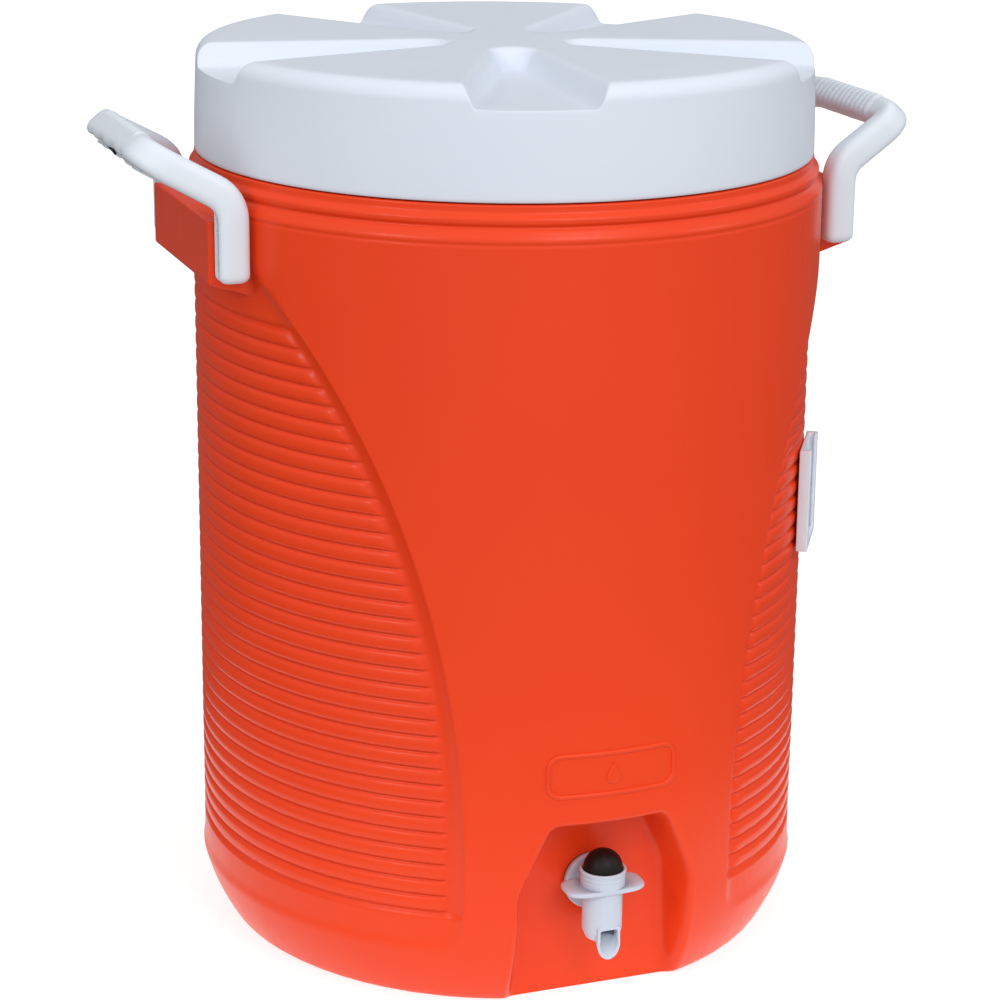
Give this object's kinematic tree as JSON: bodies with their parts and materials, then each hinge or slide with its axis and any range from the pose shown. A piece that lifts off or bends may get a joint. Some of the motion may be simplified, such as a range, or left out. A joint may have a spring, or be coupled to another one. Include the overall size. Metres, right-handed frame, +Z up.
{
  "type": "beverage dispenser",
  "caption": "Insulated round beverage dispenser with lift-off lid, fixed carrying handles, push-button spigot and cup bracket.",
  "frame": {"origin": "middle of the base, on the surface that the dispenser stands on", "axes": "+Z up along the vessel's axis, -Y out of the front where the spigot is, handles at -X and +X"},
  "size_m": [0.4464, 0.3522, 0.5],
  "materials": {
    "orange_shell": "satin",
    "white_liner": "satin",
    "foam": "matte",
    "white_lid": "satin",
    "white_handle": "satin",
    "white_spigot": "satin",
    "grey_rubber": "matte",
    "black_button": "satin",
    "stainless_steel": "satin"
  },
  "bodies": {
    "vessel": {"outer_shell": "orange_shell", "inner_liner": "white_liner", "foam_insulation": "foam", "foam_fill_plug": "orange_shell", "handle_left": "white_handle", "handle_right": "white_handle", "cup_bracket": "white_handle", "bracket_screws": "stainless_steel", "spigot_body": "white_spigot", "spigot_bonnet": "white_spigot", "spigot_outer_washer": "grey_rubber", "spigot_inner_washer": "grey_rubber", "spigot_nut": "white_spigot", "stem_o_ring": "grey_rubber", "button_spring": "stainless_steel"},
    "lid_seal": {"lid_gasket": "grey_rubber"},
    "lid": {"lid_top": "white_lid", "lid_pan": "white_lid", "lid_foam": "foam"},
    "button": {"button_cap": "black_button", "button_stem": "white_spigot", "valve_seal": "grey_rubber"}
  },
  "joints": [
    {"name": "lid_lift", "type": "slide", "parent": "vessel", "child": "lid_seal", "axis": [0, 0, 1], "range_m": [0, 0.25]},
    {"name": "lid_turn", "type": "hinge", "parent": "lid_seal", "child": "lid", "pos_m": [0, 0, 0.45], "axis": [0, 0, 1], "continuous": true},
    {"name": "button_press", "type": "slide", "parent": "vessel", "child": "button", "axis": [0, 0, -1], "range_m": [0, 0.005], "stiffness_N_per_m": 900, "springref_m": -0.004, "deforming": ["button_spring"]}
  ]
}
